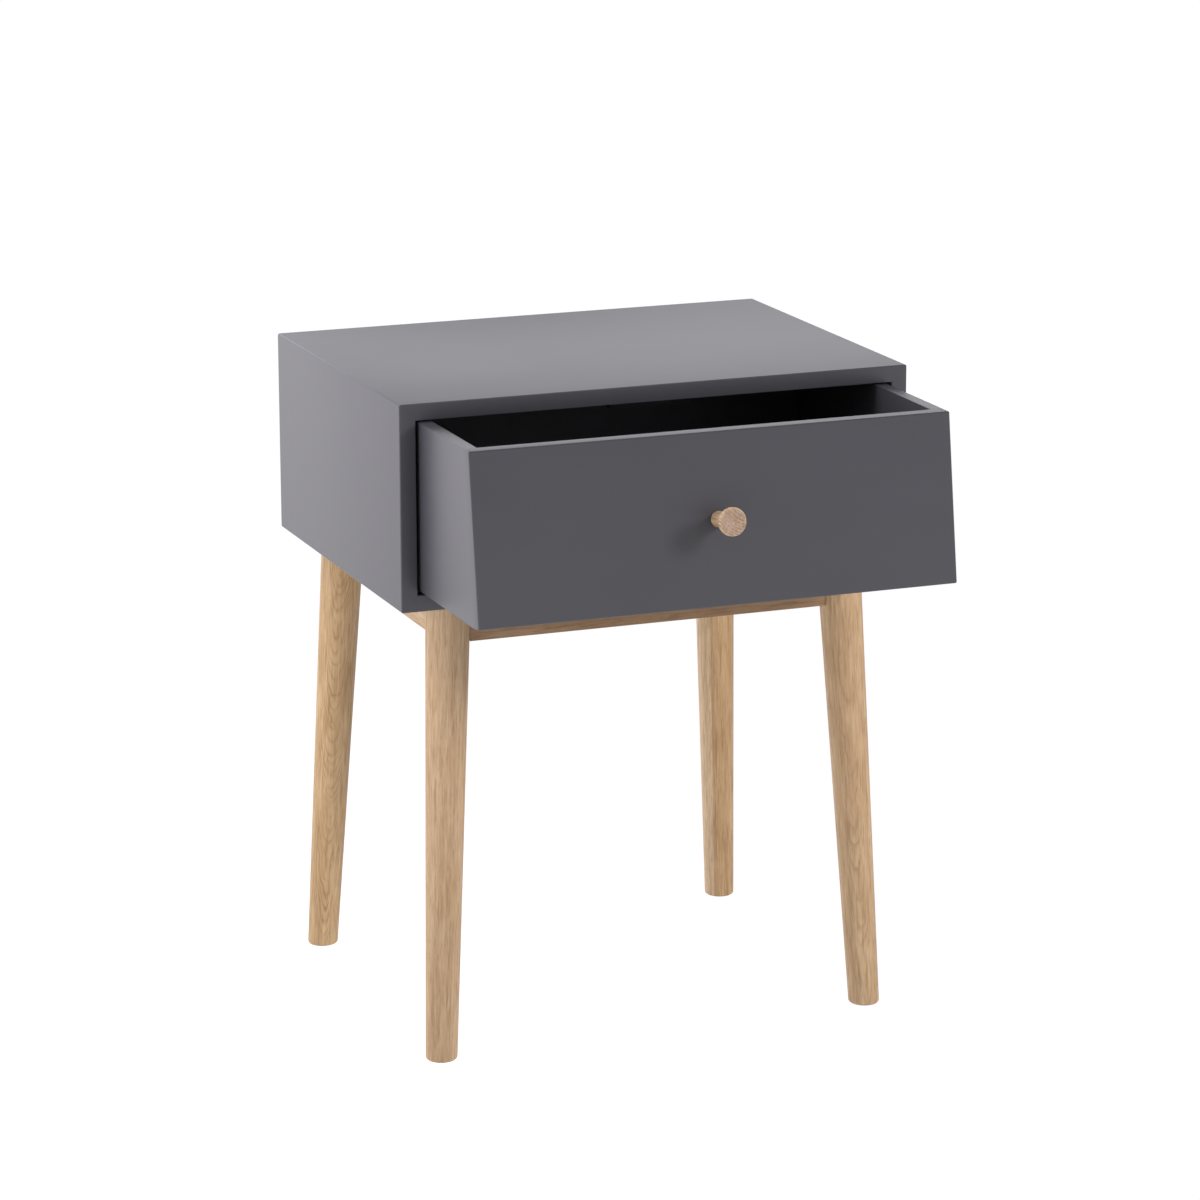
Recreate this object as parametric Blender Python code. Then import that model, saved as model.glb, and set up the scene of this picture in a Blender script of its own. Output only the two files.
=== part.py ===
"""Side table with one drawer, in metres, +Z up, standing on Z = 0 with its front towards -Y.

A mitred case of painted board stands on an oak frame of four splayed, tapered legs and four rails.
The drawer has a front board that leans back at the top, and is modelled part open, by DRAWER_OPEN.
Depths are measured back from the case's front edge. FRONT_Y is that edge's place in the model,
chosen so that the origin is at the bottom centre of the model's bounding box.
"""

import math

import bmesh
import bpy
from mathutils import Matrix, Vector

# Case
CASE_WIDTH = 0.480
CASE_DEPTH = 0.350
CASE_HEIGHT = 0.1848
CASE_BOARD = 0.015
CASE_CORNER_RADIUS = 0.002
BACK_PANEL = 0.005
REBATE_WIDTH = 0.008
REBATE_DEPTH = 0.006

# Legs: radius, and inset of the axis from the case's side and from its front or back
LEG_HEIGHT = 0.4152
LEG_TOP_RADIUS = 0.020
LEG_FOOT_RADIUS = 0.0142
LEG_TOP_INSET = (0.0523, 0.0276)
LEG_FOOT_INSET = (0.0329, 0.0020)
LEG_FOOT_ROUND = 0.003
LEG_SIDES = 40

# Nailed glide under each leg
GLIDE_RADIUS = 0.009
GLIDE_HEIGHT = 0.003
GLIDE_PROUD = 0.001
GLIDE_EDGE = 0.0006
GLIDE_SIDES = 24
NAIL_RADIUS = 0.001
NAIL_LENGTH = 0.014

# Rails between the legs, with their dowels and corner blocks. The side rails stand a little inwards.
RAIL_THICKNESS = 0.020
RAIL_HEIGHT = 0.036
SIDE_RAIL_INSET = 0.0026
DOWEL_RADIUS = 0.004
DOWEL_DROPS = (0.010, 0.026)
DOWEL_IN_LEG = 0.011
DOWEL_IN_RAIL = 0.017
DOWEL_SIDES = 12
BLOCK_HEIGHT = 0.020
BLOCK_NEAR = 0.018
BLOCK_FAR = 0.048

# Drawer
DRAWER_OPEN = 0.148
DRAWER_SIDE_GAP = 0.003
DRAWER_LIFT = 0.0024
DRAWER_HEIGHT = 0.1509
DRAWER_BOARD = 0.012
FRONT_BOARD = 0.013
FRONT_TILT = math.radians(8.2)
DRAWER_BOTTOM = 0.004
BOTTOM_RAISE = 0.010
GROOVE_DEPTH = 0.005
BACK_BOARD_DROP = 0.007
BOTTOM_SCREW_X = 0.120

# Runner strips of L section, on the case's floor and sides
RUNNER_WIDTH = 0.014
RUNNER_HEIGHT = 0.020
RUNNER_FOOT = 0.0018
RUNNER_WALL = 0.002
RUNNER_START = 0.012
RUNNER_END_GAP = 0.002

# Stops: width, length along the drawer's travel, and height
REAR_STOP = (0.020, 0.010, 0.018)
REAR_STOP_INSET = 0.010
OUT_STOP = (0.060, 0.020, 0.012)
OUT_STOP_DEPTH = 0.060

# Knob: (radius, distance from its base) along the knob's axis
KNOB_PROFILE = (
    (0.0071, 0.0000),
    (0.0069, 0.0020),
    (0.0066, 0.0060),
    (0.0065, 0.0110),
    (0.0067, 0.0160),
    (0.0077, 0.0205),
    (0.0096, 0.0240),
    (0.0117, 0.0266),
    (0.0124, 0.0282),
    (0.0125, 0.0300),
    (0.0123, 0.0314),
    (0.0117, 0.0324),
    (0.0108, 0.0328),
)
KNOB_SIDES = 40
KNOB_SCREW_DEPTH = 0.014
WASHER_RADIUS = 0.005
WASHER_THICKNESS = 0.001

# Screws: shaft radius and length
FRAME_SCREW = (0.002, 0.032)
STOP_SCREW = (0.002, 0.022)
BOTTOM_SCREW = (0.0015, 0.018)
KNOB_SCREW_RADIUS = 0.002
SCREW_SIDES = 16

# Clearances between pieces, and how far a cutter runs past a face
GAP = 0.0003
OVERCUT = 0.002

# Heights above the floor
CASE_BOTTOM = LEG_HEIGHT
INNER_BOTTOM = CASE_BOTTOM + CASE_BOARD
INNER_TOP = CASE_BOTTOM + CASE_HEIGHT - CASE_BOARD
DRAWER_LOW = INNER_BOTTOM + DRAWER_LIFT
DRAWER_HIGH = DRAWER_LOW + DRAWER_HEIGHT
FRONT_EDGE_HEIGHT = DRAWER_LOW + FRONT_BOARD * math.sin(FRONT_TILT)
KNOB_HEIGHT = (FRONT_EDGE_HEIGHT + DRAWER_HIGH) / 2

# Half widths
INNER_HALF = CASE_WIDTH / 2 - CASE_BOARD
DRAWER_HALF = INNER_HALF - DRAWER_SIDE_GAP
DRAWER_INNER_HALF = DRAWER_HALF - DRAWER_BOARD

# Depths from the case's front edge. The drawer's are those of the closed drawer.
CASE_INNER_BACK = CASE_DEPTH - REBATE_DEPTH
REAR_STOP_FRONT = CASE_INNER_BACK - REAR_STOP[1]
DRAWER_REAR = REAR_STOP_FRONT - GAP

SIDE_SIGNS = {"left": -1, "right": 1}
END_SIGNS = {"front": -1, "rear": 1}
UP = Vector((0, 0, 1))


# Places worked out from the dimensions


def leg_share(height):
    """0 at a leg's top and 1 at its foot."""
    return (CASE_BOTTOM - height) / (CASE_BOTTOM - GLIDE_PROUD)


def leg_radius(height):
    return LEG_TOP_RADIUS + (LEG_FOOT_RADIUS - LEG_TOP_RADIUS) * leg_share(height)


def leg_centre(side, end, height):
    """x of a leg's axis at a height, and its depth from the case's front edge."""
    share = leg_share(height)
    inset_x, inset_y = (top + (foot - top) * share for top, foot in zip(LEG_TOP_INSET, LEG_FOOT_INSET))
    x = SIDE_SIGNS[side] * (CASE_WIDTH / 2 - inset_x)
    return x, inset_y if end == "front" else CASE_DEPTH - inset_y


def leg_outline():
    """(radius, height) points round the foot's edge and on to the top."""
    radius = leg_radius(GLIDE_PROUD + LEG_FOOT_ROUND)
    points = []
    for step in range(5):
        turn = math.pi / 2 * step / 4
        across = radius - LEG_FOOT_ROUND * (1 - math.sin(turn))
        points.append((across, GLIDE_PROUD + LEG_FOOT_ROUND * (1 - math.cos(turn))))
    top = CASE_BOTTOM - GAP
    return points + [(leg_radius(top), top)]


def front_depth(height, inside=0.0):
    """Depth of the closed drawer front's face at a height, or of a plane that far inside it."""
    return (height - FRONT_EDGE_HEIGHT) * math.tan(FRONT_TILT) + inside / math.cos(FRONT_TILT)


def knob_reach():
    """How far the knob stands out in front of the middle of its base."""
    along, up = math.cos(FRONT_TILT), math.sin(FRONT_TILT)
    return max((distance + GAP) * along + radius * up for radius, distance in KNOB_PROFILE)


FRONT_MOST = front_depth(KNOB_HEIGHT) - DRAWER_OPEN - knob_reach()
REAR_MOST = max(leg_centre("left", "rear", height)[1] + radius for radius, height in leg_outline())
FRONT_Y = -(FRONT_MOST + REAR_MOST) / 2


# Scene, origins and materials


def origin(name, y):
    made = bpy.data.objects.new(name, None)
    made.location.y = y
    bpy.context.scene.collection.objects.link(made)
    return made


def material(name, colour, roughness, metallic=0.0):
    """A Principled material. The colour is linear."""
    made = bpy.data.materials.new(name)
    made.use_nodes = True
    shader = made.node_tree.nodes["Principled BSDF"]
    shader.inputs["Base Color"].default_value = (*colour, 1.0)
    shader.inputs["Roughness"].default_value = roughness
    shader.inputs["Metallic"].default_value = metallic
    return made


for old in list(bpy.data.objects):
    bpy.data.objects.remove(old)

# Under both origins, y = 0 is the case's front edge, or where it is when the drawer is closed.
TABLE = origin("table_origin", FRONT_Y)
DRAWER = origin("drawer_origin", FRONT_Y - DRAWER_OPEN)

PAINT = material("grey_paint", (0.105, 0.103, 0.112), 0.5)
OAK = material("oak", (0.52, 0.36, 0.21), 0.55)
PLYWOOD = material("grey_plywood", (0.060, 0.058, 0.064), 0.6)
BEECH = material("beech", (0.50, 0.36, 0.22), 0.65)
STEEL = material("zinc_plated_steel", (0.62, 0.62, 0.60), 0.35, 1.0)
BLACK_NYLON = material("black_nylon", (0.02, 0.02, 0.02), 0.45)
PALE_NYLON = material("pale_nylon", (0.75, 0.74, 0.70), 0.45)


# Shapes


def closed_mesh(shape):
    """A mesh whose faces point outwards and whose round stretches are shaded smooth."""
    bmesh.ops.recalc_face_normals(shape, faces=shape.faces)
    mesh = bpy.data.meshes.new("shape")
    shape.to_mesh(mesh)
    shape.free()
    mesh.shade_smooth()
    mesh.set_sharp_from_angle(angle=math.radians(35))
    return mesh


def prism(outline, axis, start, end):
    """A flat outline, extruded along X, Y or Z. Its points are the other two coordinates."""
    index = "XYZ".index(axis)
    shape = bmesh.new()
    corners = []
    for point in outline:
        place_of = list(point)
        place_of.insert(index, start)
        corners.append(shape.verts.new(place_of))
    base = shape.faces.new(corners)
    grown = bmesh.ops.extrude_face_region(shape, geom=[base])["geom"]
    far = [item for item in grown if isinstance(item, bmesh.types.BMVert)]
    shift = Vector((0, 0, 0))
    shift[index] = end - start
    bmesh.ops.translate(shape, verts=far, vec=shift)
    return closed_mesh(shape)


def box(low, high):
    plan = [(low[0], low[1]), (high[0], low[1]), (high[0], high[1]), (low[0], high[1])]
    return prism(plan, "Z", low[2], high[2])


def stacked(rings, sides):
    """A round solid from (centre x, centre y, height, radius) rings, with a flat cap at each end."""
    shape = bmesh.new()
    loops = []
    for x, y, height, radius in rings:
        loop = []
        for k in range(sides):
            turn = 2 * math.pi * k / sides
            loop.append(shape.verts.new((x + radius * math.cos(turn), y + radius * math.sin(turn), height)))
        loops.append(loop)
    for lower, upper in zip(loops, loops[1:]):
        for k in range(sides):
            after = (k + 1) % sides
            shape.faces.new((lower[k], lower[after], upper[after], upper[k]))
    shape.faces.new(loops[0])
    shape.faces.new(loops[-1])
    return closed_mesh(shape)


def turned(profile, sides):
    """A solid turned about Z, from (radius, height) points."""
    return stacked([(0, 0, height, radius) for radius, height in profile], sides)


def leaning(side, end, outline, sides):
    """A solid turned about one leg's leaning axis, from (radius, height) points."""
    rings = [(*leg_centre(side, end, height), height, radius) for radius, height in outline]
    return stacked(rings, sides)


def add(name, mesh, parent, surface=None):
    made = bpy.data.objects.new(name, mesh)
    bpy.context.scene.collection.objects.link(made)
    made.parent = parent
    if surface:
        mesh.materials.append(surface)
    return made


def aimed(position, axis):
    """A placement that turns +Z to axis and moves the origin to position."""
    return Matrix.Translation(position) @ UP.rotation_difference(axis).to_matrix().to_4x4()


def cut(cutter, *pieces):
    """Hides the cutter, which is no part of the table, and takes it out of each piece."""
    cutter.name = "cutter_" + cutter.name
    cutter.hide_render = True
    cutter.display_type = "WIRE"
    for piece in pieces:
        step = piece.modifiers.new(cutter.name, "BOOLEAN")
        step.operation = "DIFFERENCE"
        step.solver = "EXACT"
        step.object = cutter


def drill(name, parent, radius, length, start, axis, *pieces):
    """A round hole from start along axis, in each piece."""
    hole = add(name, turned(((radius, 0), (radius, length)), SCREW_SIDES), parent)
    hole.matrix_local = aimed(start, axis)
    cut(hole, *pieces)


def screw(name, parent, size, seat, *pieces):
    """A screw driven straight up, with its head under seat, and its hole in each piece."""
    radius, length = size
    head = radius * 1.1
    profile = (
        (radius * 1.4, 0),
        (radius * 2, head * 0.5),
        (radius * 2, head),
        (radius, head),
        (radius, head + length - radius * 1.5),
        (radius * 0.25, head + length),
    )
    made = add(name, turned(profile, SCREW_SIDES), parent, STEEL)
    made.location = seat - UP * (head + GAP)
    drill(name, parent, radius + GAP, OVERCUT + length + GAP, seat - UP * OVERCUT, UP, *pieces)


# Case


def mitred_outline(length):
    """A board's end view with its outer face up: mitred ends, and half of each rounded corner."""
    radius = CASE_CORNER_RADIUS
    half = (length - GAP) / 2
    right = [(half - CASE_BOARD, 0)]
    for step in range(4):
        turn = math.radians(45 + 15 * step)
        right.append((half - radius + radius * math.cos(turn), CASE_BOARD - radius + radius * math.sin(turn)))
    return right + [(-x, z) for x, z in reversed(right)]


def build_case():
    across, upright = mitred_outline(CASE_WIDTH), mitred_outline(CASE_HEIGHT)
    middle = CASE_BOTTOM + CASE_HEIGHT / 2
    outlines = {
        "top_board": [(x, INNER_TOP + z) for x, z in across],
        "bottom_board": [(x, INNER_BOTTOM - z) for x, z in across],
        "left_side_board": [(-INNER_HALF - z, middle + x) for x, z in upright],
        "right_side_board": [(INNER_HALF + z, middle + x) for x, z in upright],
    }
    boards = {}
    for name, outline in outlines.items():
        boards[name] = add(name, prism(outline, "Y", 0, CASE_DEPTH), TABLE, PAINT)
    wide, tall = INNER_HALF + REBATE_WIDTH, (INNER_TOP - INNER_BOTTOM) / 2 + REBATE_WIDTH
    low = (-wide, CASE_INNER_BACK, middle - tall)
    high = (wide, CASE_DEPTH + OVERCUT, middle + tall)
    cut(add("back_rebate", box(low, high), TABLE), *boards.values())
    low = (GAP - wide, CASE_INNER_BACK + GAP, middle - tall + GAP)
    high = (wide - GAP, CASE_INNER_BACK + GAP + BACK_PANEL, middle + tall - GAP)
    add("back_panel", box(low, high), TABLE, PAINT)
    return boards


def build_runners():
    """Strips whose feet carry the drawer's sides and whose walls guide them."""
    outer, low = INNER_HALF - GAP, INNER_BOTTOM + GAP
    inner, wall = outer - RUNNER_WIDTH, outer - RUNNER_WALL
    foot, high = low + RUNNER_FOOT, low + RUNNER_HEIGHT
    section = [(outer, low), (outer, high), (wall, high), (wall, foot), (inner, foot), (inner, low)]
    for side, sign in SIDE_SIGNS.items():
        outline = [(sign * x, z) for x, z in section]
        mesh = prism(outline, "Y", RUNNER_START, REAR_STOP_FRONT - RUNNER_END_GAP)
        add("drawer_runner_" + side, mesh, TABLE, BLACK_NYLON)


def build_stops(top_board):
    """Blocks that the closed drawer meets at the back, and one that its back board meets when open."""
    width, length, height = REAR_STOP
    low = INNER_BOTTOM + GAP
    for side, sign in SIDE_SIGNS.items():
        outer = sign * (INNER_HALF - REAR_STOP_INSET)
        near, far = sorted((outer, outer - sign * width))
        mesh = box((near, REAR_STOP_FRONT, low), (far, REAR_STOP_FRONT + length, low + height))
        add("rear_stop_" + side, mesh, TABLE, BEECH)
    width, length, height = OUT_STOP
    high = INNER_TOP - GAP
    front = OUT_STOP_DEPTH - length
    mesh = box((-width / 2, front, high - height), (width / 2, OUT_STOP_DEPTH, high))
    block = add("drawer_stop_block", mesh, TABLE, BEECH)
    seat = Vector((0, front + length / 2, high - height))
    screw("stop_block_screw", TABLE, STOP_SCREW, seat, block, top_board)


# Frame under the case


def build_legs():
    """Legs, each with a nailed glide in a recess in its foot."""
    nail, recess = NAIL_RADIUS + GAP, GLIDE_RADIUS + GAP
    nail_top, recess_top = GLIDE_HEIGHT + NAIL_LENGTH + GAP, GLIDE_HEIGHT + GAP
    hollow = [(nail, nail_top), (nail, recess_top), (recess, recess_top), (recess, GLIDE_PROUD)]
    glide = [
        (GLIDE_RADIUS - GLIDE_EDGE, 0),
        (GLIDE_RADIUS, GLIDE_EDGE),
        (GLIDE_RADIUS, GLIDE_HEIGHT),
        (NAIL_RADIUS, GLIDE_HEIGHT),
        (NAIL_RADIUS, GLIDE_HEIGHT + NAIL_LENGTH),
    ]
    legs = {}
    for side in SIDE_SIGNS:
        for end in END_SIGNS:
            mesh = leaning(side, end, hollow + leg_outline(), LEG_SIDES)
            legs[side, end] = add(f"leg_{end}_{side}", mesh, TABLE, OAK)
            mesh = leaning(side, end, glide, GLIDE_SIDES)
            add(f"foot_glide_{end}_{side}", mesh, TABLE, PALE_NYLON)
    return legs


def build_rails():
    """Rails between the legs' tops, with their ends hollowed to fit round the legs."""
    low, high = CASE_BOTTOM - RAIL_HEIGHT, CASE_BOTTOM - GAP
    half = RAIL_THICKNESS / 2
    right, front = leg_centre("right", "front", CASE_BOTTOM)
    rear = CASE_DEPTH - front
    rails = {}
    for end, depth in {"front": front, "rear": rear}.items():
        mesh = box((-right, depth - half, low), (right, depth + half, high))
        rails[end] = add(end + "_rail", mesh, TABLE, OAK)
    for side, sign in SIDE_SIGNS.items():
        x = sign * (right - SIDE_RAIL_INSET)
        rails[side] = add(side + "_rail", box((x - half, front, low), (x + half, rear, high)), TABLE, OAK)
    heights = (CASE_BOTTOM + OVERCUT, low - OVERCUT)
    outline = [(leg_radius(height) + GAP, height) for height in heights]
    for side in SIDE_SIGNS:
        for end in END_SIGNS:
            leg_shape = add(f"leg_{end}_{side}", leaning(side, end, outline, LEG_SIDES), TABLE)
            cut(leg_shape, rails[side], rails[end])
    return rails


def build_dowels(legs, rails):
    """Two dowels between each rail's end and its leg, level and in line with the rail."""
    length = DOWEL_IN_LEG + DOWEL_IN_RAIL
    mesh = turned(((DOWEL_RADIUS, 0), (DOWEL_RADIUS, length)), DOWEL_SIDES)
    mesh.materials.append(BEECH)
    bore, deep = DOWEL_RADIUS + GAP, length + 2 * GAP
    for (side, end), leg in legs.items():
        rail_x, rail_depth = leg_centre(side, end, CASE_BOTTOM)
        rail_x -= SIDE_SIGNS[side] * SIDE_RAIL_INSET
        for count, drop in enumerate(DOWEL_DROPS, 1):
            height = CASE_BOTTOM - drop
            leg_x, leg_depth = leg_centre(side, end, height)
            inset = leg_radius(height) - DOWEL_IN_LEG
            ways = {
                end: (Vector((leg_x, rail_depth, height)), Vector((-SIDE_SIGNS[side], 0, 0))),
                side: (Vector((rail_x, leg_depth, height)), Vector((0, -END_SIGNS[end], 0))),
            }
            for rail, (centre, axis) in ways.items():
                name = f"dowel_{end}_{side}_to_{rail}_rail_{count}"
                start = centre + axis * inset
                add(name, mesh, TABLE).matrix_local = aimed(start, axis)
                drill(name, TABLE, bore, deep, start - axis * GAP, axis, leg, rails[rail])


def build_corner_blocks(bottom_board):
    """A block across each inner corner of the frame, with the screw that holds the case down."""
    high = CASE_BOTTOM - GAP
    middle = (BLOCK_NEAR + BLOCK_FAR) / 4
    inset = RAIL_THICKNESS / 2 + GAP
    for side, inwards_x in {"left": 1, "right": -1}.items():
        for end, inwards_y in {"front": 1, "rear": -1}.items():
            x, depth = leg_centre(side, end, CASE_BOTTOM)
            x += inwards_x * (inset + SIDE_RAIL_INSET)
            depth += inwards_y * inset
            plan = [(BLOCK_NEAR, 0), (BLOCK_FAR, 0), (0, BLOCK_FAR), (0, BLOCK_NEAR)]
            outline = [(x + inwards_x * a, depth + inwards_y * b) for a, b in plan]
            mesh = prism(outline, "Z", high - BLOCK_HEIGHT, high)
            block = add(f"corner_block_{end}_{side}", mesh, TABLE, BEECH)
            seat = Vector((x + inwards_x * middle, depth + inwards_y * middle, high - BLOCK_HEIGHT))
            screw(f"frame_screw_{end}_{side}", TABLE, FRAME_SCREW, seat, block, bottom_board)


# Drawer


def build_drawer_front():
    outline = [
        (front_depth(FRONT_EDGE_HEIGHT), FRONT_EDGE_HEIGHT),
        (front_depth(DRAWER_HIGH), DRAWER_HIGH),
        (front_depth(DRAWER_HIGH, FRONT_BOARD), DRAWER_HIGH),
        (front_depth(DRAWER_LOW, FRONT_BOARD), DRAWER_LOW),
    ]
    return add("drawer_front", prism(outline, "X", -DRAWER_HALF, DRAWER_HALF), DRAWER, PAINT)


def build_drawer_sides():
    start = FRONT_BOARD + GAP
    outline = [
        (front_depth(DRAWER_LOW, start), DRAWER_LOW),
        (DRAWER_REAR, DRAWER_LOW),
        (DRAWER_REAR, DRAWER_HIGH),
        (front_depth(DRAWER_HIGH, start), DRAWER_HIGH),
    ]
    sides = []
    for side, sign in SIDE_SIGNS.items():
        near, far = sorted((sign * DRAWER_HALF, sign * DRAWER_INNER_HALF))
        sides.append(add("drawer_side_" + side, prism(outline, "X", near, far), DRAWER, PAINT))
    return sides


def build_drawer_bottom(grooved):
    """The bottom panel, in a groove round the front and the sides. The back board stands on it."""
    low = DRAWER_LOW + BOTTOM_RAISE
    high = low + DRAWER_BOTTOM
    half = DRAWER_INNER_HALF + GROOVE_DEPTH
    front = front_depth(high, FRONT_BOARD - GROOVE_DEPTH)
    groove = box((-half, front, low - GAP), (half, DRAWER_REAR + OVERCUT, high + GAP))
    cut(add("bottom_groove", groove, DRAWER), *grooved)
    mesh = box((GAP - half, front + GAP, low), (half - GAP, DRAWER_REAR, high))
    bottom = add("drawer_bottom", mesh, DRAWER, PLYWOOD)
    half = DRAWER_INNER_HALF - GAP
    front = DRAWER_REAR - DRAWER_BOARD
    mesh = box((-half, front, high + GAP), (half, DRAWER_REAR, DRAWER_HIGH - BACK_BOARD_DROP))
    back = add("drawer_back", mesh, DRAWER, PAINT)
    for side, sign in SIDE_SIGNS.items():
        seat = Vector((sign * BOTTOM_SCREW_X, front + DRAWER_BOARD / 2, low))
        screw("drawer_bottom_screw_" + side, DRAWER, BOTTOM_SCREW, seat, bottom, back)


def ring_mesh(inner, outer, thickness):
    """A flat ring on Z = 0."""
    shape = bmesh.new()
    section = [(inner, 0), (outer, 0), (outer, thickness), (inner, thickness)]
    corners = [shape.verts.new((radius, 0, height)) for radius, height in section]
    edges = [shape.edges.new((corners[k - 1], corners[k])) for k in range(4)]
    bmesh.ops.spin(
        shape,
        geom=corners + edges,
        cent=(0, 0, 0),
        axis=UP,
        angle=2 * math.pi,
        steps=SCREW_SIDES,
        use_merge=True,
    )
    return closed_mesh(shape)


def build_knob(front):
    """The turned knob, with the machine screw and washer that hold it from inside the drawer."""
    out = Vector((0, -math.cos(FRONT_TILT), math.sin(FRONT_TILT)))
    face = Vector((0, front_depth(KNOB_HEIGHT), KNOB_HEIGHT))
    bore = KNOB_SCREW_RADIUS + GAP
    hole = ((bore, KNOB_SCREW_DEPTH + GAP), (bore, 0))
    knob = add("knob", turned(hole + KNOB_PROFILE, KNOB_SIDES), DRAWER, OAK)
    knob.matrix_local = aimed(face + out * GAP, out)

    seat = face - out * (FRONT_BOARD + GAP + WASHER_THICKNESS)
    washer = add("knob_washer", ring_mesh(bore, WASHER_RADIUS, WASHER_THICKNESS), DRAWER, STEEL)
    washer.matrix_local = aimed(seat, out)

    radius = KNOB_SCREW_RADIUS
    head = radius * 1.3
    length = WASHER_THICKNESS + FRONT_BOARD + 2 * GAP + KNOB_SCREW_DEPTH
    profile = (
        (radius * 1.4, 0),
        (radius * 1.9, head * 0.4),
        (radius * 1.9, head),
        (radius, head),
        (radius, head + length),
    )
    knob_screw = add("knob_screw", turned(profile, SCREW_SIDES), DRAWER, STEEL)
    knob_screw.matrix_local = aimed(seat - out * (head + GAP), out)
    start = face - out * (FRONT_BOARD + OVERCUT)
    drill("knob", DRAWER, bore, FRONT_BOARD + 2 * OVERCUT, start, out, front)


case_boards = build_case()
build_runners()
build_stops(case_boards["top_board"])
build_dowels(build_legs(), build_rails())
build_corner_blocks(case_boards["bottom_board"])
drawer_front = build_drawer_front()
build_drawer_bottom([drawer_front, *build_drawer_sides()])
build_knob(drawer_front)
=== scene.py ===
"""Looks for the side table: painted case and drawer, oak frame and knob, and their studio.

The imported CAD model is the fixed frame. Visible pieces are rebuilt here from its boxes with rounded
edges, and stand for the CAD nodes of the same name. Only the dowels are the CAD's own. Every size
and place is in metres in the CAD's frame, and angles that are set are in degrees.
"""

import math

import bmesh
import bpy
from mathutils import Matrix, Vector


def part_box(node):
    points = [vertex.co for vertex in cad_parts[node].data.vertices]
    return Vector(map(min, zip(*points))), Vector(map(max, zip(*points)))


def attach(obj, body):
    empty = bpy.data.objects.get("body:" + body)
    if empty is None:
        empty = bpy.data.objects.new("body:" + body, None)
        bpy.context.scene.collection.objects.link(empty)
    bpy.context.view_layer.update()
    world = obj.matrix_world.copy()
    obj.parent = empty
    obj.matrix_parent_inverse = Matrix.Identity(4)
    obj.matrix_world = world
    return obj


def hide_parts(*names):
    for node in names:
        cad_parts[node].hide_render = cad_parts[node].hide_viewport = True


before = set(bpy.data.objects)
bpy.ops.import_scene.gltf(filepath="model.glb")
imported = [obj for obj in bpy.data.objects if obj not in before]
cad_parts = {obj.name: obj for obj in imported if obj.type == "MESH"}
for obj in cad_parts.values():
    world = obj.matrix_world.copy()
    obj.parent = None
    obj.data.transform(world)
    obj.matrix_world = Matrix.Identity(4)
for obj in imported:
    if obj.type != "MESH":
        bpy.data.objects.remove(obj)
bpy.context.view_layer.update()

# How near two places, levels or planes are when they count as the same, how near a cut a vertex
# is when it lies on the cut, and how far below a board's top its top corners reach
SAME_PLACE = 1e-5
SAME_LEVEL = 0.00005
SAME_PLANE = 1e-6
CUT_PLANE = 1e-7
TOP_DEPTH = 0.0001

# Angles between faces: edges sharper than the first can be rounded, and than the others look sharp
ROUNDED_FROM = 30
SHARP_FROM = 35
KNOB_SHARP_FROM = 50

# Edge roundings
CASE_CORNER = 0.0020
CASE_EDGE = 0.0014
CASE_INNER_EDGE = 0.0008
DRAWER_EDGE = 0.0014
DRAWER_INNER_EDGE = 0.0007
SMALL_EDGE = 0.0006
RAIL_EDGE = 0.0010
RUNNER_EDGE = 0.0003

# Between a piece and the hole or slot that it sits in
HOLE_GAP = 0.0003
HOLE_SIDES = 24
# How far a cutter reaches past what it cuts
HOLE_OVERRUN = 0.002
FRONT_HOLE_OVERRUN = 0.003
GROOVE_OVERRUN = 0.01

# Oak frame
LEG_SIDES = 72
LEG_RING_STEP = 0.008
FOOT_ROUND = 0.003
FOOT_STEPS = 6
# From below the rails to above the leg's top, as shares of the leg's height
CLEARANCE_SHARES = (0.87, 1.01)
RAIL_OVERRUN = 0.006
# Cosine of the angle to the rail
NEARLY_PARALLEL = 0.9

# The glide's disc and nail, and the recess for them in the leg's foot
GLIDE_RADIUS = 0.009
GLIDE_TOP = 0.003
GLIDE_DOME = 0.0006
GLIDE_STEPS = 4
NAIL_RADIUS = 0.001
RECESS_RADIUS = 0.0093
RECESS_TOP = 0.0033
NAIL_HOLE_RADIUS = 0.0013

# Knob: (radius, distance from its base), a smooth curve through them, then the head's rounded rim
KNOB_CURVE = (
    (0.0071, 0.0000),
    (0.0066, 0.0060),
    (0.0065, 0.0110),
    (0.0067, 0.0160),
    (0.0077, 0.0205),
    (0.0096, 0.0240),
    (0.0117, 0.0266),
    (0.0125, 0.0292),
)
KNOB_RIM = 0.0018
KNOB_HEIGHT = 0.0328
KNOB_BORE_DEPTH = 0.0143
KNOB_SIDES = 72
KNOB_CURVE_STEPS = 4
KNOB_RIM_STEPS = 6

# Screws: (radius, head's radius, head's height), and what is the same for all of them
CASE_SCREW = (0.002, 0.004, 0.0022)
KNOB_SCREW = (0.002, 0.0038, 0.0026)
BOTTOM_SCREW = (0.0015, 0.003, 0.00165)
SCREW_HOLE = 0.0023
BOTTOM_SCREW_HOLE = 0.0018
BOTTOM_SCREW_OVERRUN = 0.001
KNOB_SCREW_SHANK = 0.0286
SCREW_SIDES = 32
SCREW_STEPS = 5
# The head's flat middle and its dome, as shares of the head's radius and height
HEAD_FLAT = 0.35
HEAD_DOME = 0.75
# The tip's length and radius, as shares of the screw's radius
TIP_LENGTH = 1.5
TIP_RADIUS = 0.25
# The cross slot's reach, half width and depth, as shares of the head's radius, radius and height
SLOT_REACH = 0.55
SLOT_HALF_WIDTH = 0.11
SLOT_DEPTH = 0.55
SLOT_OVERRUN = 0.001
WASHER_RADIUS = 0.0050
WASHER_THICKNESS = 0.001
WASHER_EDGE = 0.0002
SMALL_PART_SIDES = 48

RUNNER_FOOT = 0.0018
RUNNER_WALL = 0.002

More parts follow.
